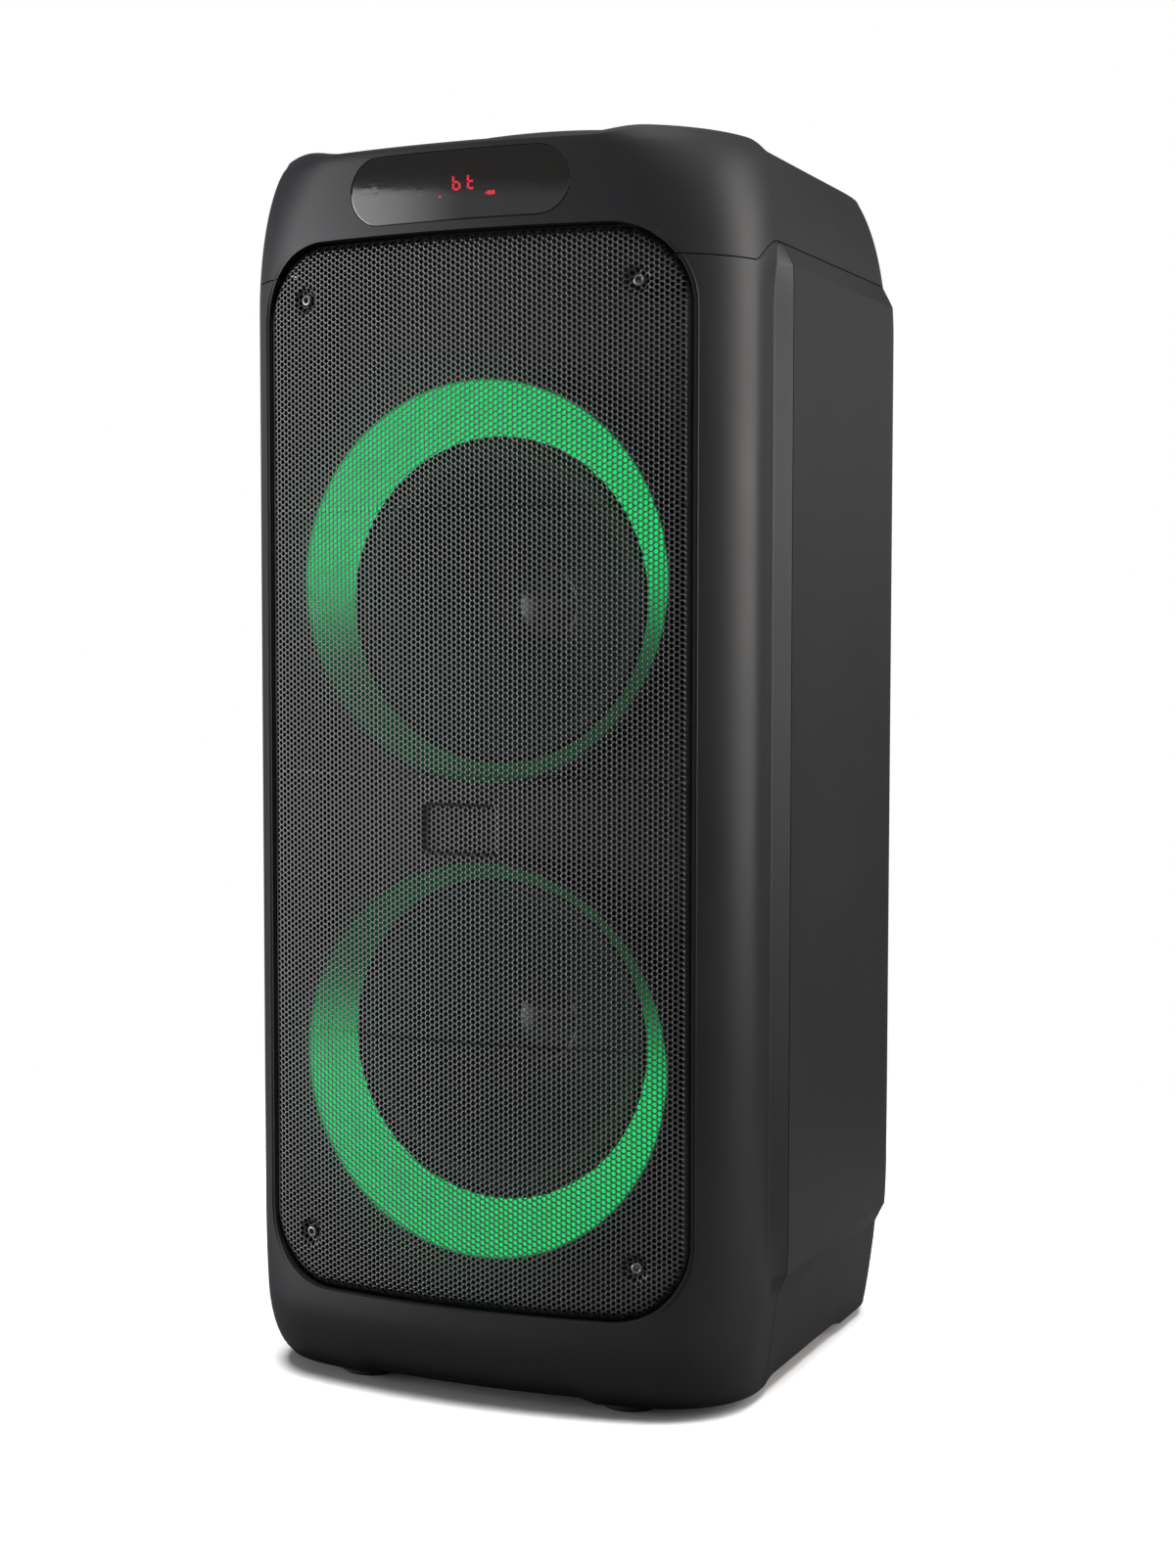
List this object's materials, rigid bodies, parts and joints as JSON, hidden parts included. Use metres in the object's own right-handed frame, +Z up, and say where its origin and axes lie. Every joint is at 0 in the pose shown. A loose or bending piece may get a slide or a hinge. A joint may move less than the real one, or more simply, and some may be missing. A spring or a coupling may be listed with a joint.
{
  "type": "party speaker",
  "caption": "Tall portable party speaker with a curved perforated grille over two woofers in off-centre crescent light rings, a display window and a top handle.",
  "frame": {"origin": "on the floor, under the middle of the cabinet", "axes": "+Z up, -Y out of the front grille, +X to the right seen from the front"},
  "size_m": [0.32, 0.32, 0.7115],
  "materials": {
    "cabinet_plastic": "fine-textured moulded ABS",
    "moulded_plastic": "moulded ABS",
    "knob_plastic": "soft-touch black",
    "grille_steel": "satin black powder coat",
    "black_screws": "black oxide",
    "plated_screws": "zinc plated",
    "display_lens": "smoked gloss",
    "display_red": "lit red",
    "circuit_board": "solder mask",
    "socket_metal": "black",
    "sink_aluminium": "extruded",
    "battery_wrap": "shrink wrap",
    "foot_rubber": "matt",
    "ring_lens": "frosted translucent",
    "basket_steel": "black",
    "plated_steel": "plated",
    "ferrite": "sintered ferrite",
    "cone_paper": "coated pulp",
    "cap_gloss": "gloss black",
    "surround_rubber": "matt",
    "spider_cloth": "woven",
    "coil_former": "foil"
  },
  "bodies": {
    "cabinet": {"amplifier_board": "circuit_board", "baffle": "moulded_plastic", "bass_ports": "moulded_plastic", "battery_pack": "battery_wrap", "battery_strap": "moulded_plastic", "button_switches": "moulded_plastic", "carry_handle": "cabinet_plastic", "charging_socket": "socket_metal", "connector_panel": "moulded_plastic", "control_board": "circuit_board", "control_panel": "moulded_plastic", "display_board": "circuit_board", "display_segments": "display_red", "display_window": "display_lens", "feet": "foot_rubber", "foot_screws": "plated_screws", "front_shell": "cabinet_plastic", "grille": "grille_steel", "grille_screws": "black_screws", "handle_screws": "plated_screws", "heat_sink": "sink_aluminium", "knob_encoders": "moulded_plastic", "lower_light_ring": "ring_lens", "lower_magnet": "ferrite", "lower_ring_board": "circuit_board", "lower_spider": "spider_cloth", "lower_surround": "surround_rubber", "lower_top_plate": "plated_steel", "lower_woofer_basket": "basket_steel", "lower_yoke": "plated_steel", "mic_jacks": "socket_metal", "rear_shell": "cabinet_plastic", "rocker_housing": "moulded_plastic", "shell_screws": "plated_screws", "top_cap": "cabinet_plastic", "upper_light_ring": "ring_lens", "upper_magnet": "ferrite", "upper_ring_board": "circuit_board", "upper_spider": "spider_cloth", "upper_surround": "surround_rubber", "upper_top_plate": "plated_steel", "upper_woofer_basket": "basket_steel", "upper_yoke": "plated_steel", "usb_socket": "socket_metal", "woofer_screws": "plated_screws"},
    "upper_cone_assembly": {"upper_cone": "cone_paper", "upper_dust_cap": "cap_gloss", "upper_voice_coil": "coil_former"},
    "lower_cone_assembly": {"lower_cone": "cone_paper", "lower_dust_cap": "cap_gloss", "lower_voice_coil": "coil_former"},
    "volume_knob_body": {"volume_knob": "knob_plastic"},
    "mic_knob_body": {"mic_knob": "knob_plastic"},
    "echo_knob_body": {"echo_knob": "knob_plastic"},
    "power_rocker_body": {"power_rocker": "moulded_plastic"},
    "light_button_body": {"light_button": "knob_plastic"},
    "previous_button_body": {"previous_button": "knob_plastic"},
    "play_button_body": {"play_button": "knob_plastic"},
    "next_button_body": {"next_button": "knob_plastic"},
    "mode_button_body": {"mode_button": "knob_plastic"}
  },
  "joints": [
    {"name": "upper_cone_travel", "type": "slide", "parent": "cabinet", "child": "upper_cone_assembly", "axis": [0, -1, 0], "range_m": [-0.004, 0.004], "deforming": ["upper_surround", "upper_spider"]},
    {"name": "lower_cone_travel", "type": "slide", "parent": "cabinet", "child": "lower_cone_assembly", "axis": [0, -1, 0], "range_m": [-0.004, 0.004], "deforming": ["lower_surround", "lower_spider"]},
    {"name": "light_button_press", "type": "slide", "parent": "cabinet", "child": "light_button_body", "axis": [0, 0, -1], "range_m": [0, 0.0012]},
    {"name": "previous_button_press", "type": "slide", "parent": "cabinet", "child": "previous_button_body", "axis": [0, 0, -1], "range_m": [0, 0.0012]},
    {"name": "play_button_press", "type": "slide", "parent": "cabinet", "child": "play_button_body", "axis": [0, 0, -1], "range_m": [0, 0.0012]},
    {"name": "next_button_press", "type": "slide", "parent": "cabinet", "child": "next_button_body", "axis": [0, 0, -1], "range_m": [0, 0.0012]},
    {"name": "mode_button_press", "type": "slide", "parent": "cabinet", "child": "mode_button_body", "axis": [0, 0, -1], "range_m": [0, 0.0012]},
    {"name": "volume_knob_turn", "type": "hinge", "parent": "cabinet", "child": "volume_knob_body", "pos_m": [0, 0.076, 0.69], "axis": [0, 0, 1], "continuous": true},
    {"name": "mic_knob_turn", "type": "hinge", "parent": "cabinet", "child": "mic_knob_body", "pos_m": [-0.066, 0.076, 0.69], "axis": [0, 0, 1], "range_deg": [-150, 150]},
    {"name": "echo_knob_turn", "type": "hinge", "parent": "cabinet", "child": "echo_knob_body", "pos_m": [0.066, 0.076, 0.69], "axis": [0, 0, 1], "range_deg": [-150, 150]},
    {"name": "power_rocker_tilt", "type": "hinge", "parent": "cabinet", "child": "power_rocker_body", "pos_m": [-0.04, 0.1515, 0.47], "axis": [-1, 0, 0], "range_deg": [0, 18]}
  ]
}
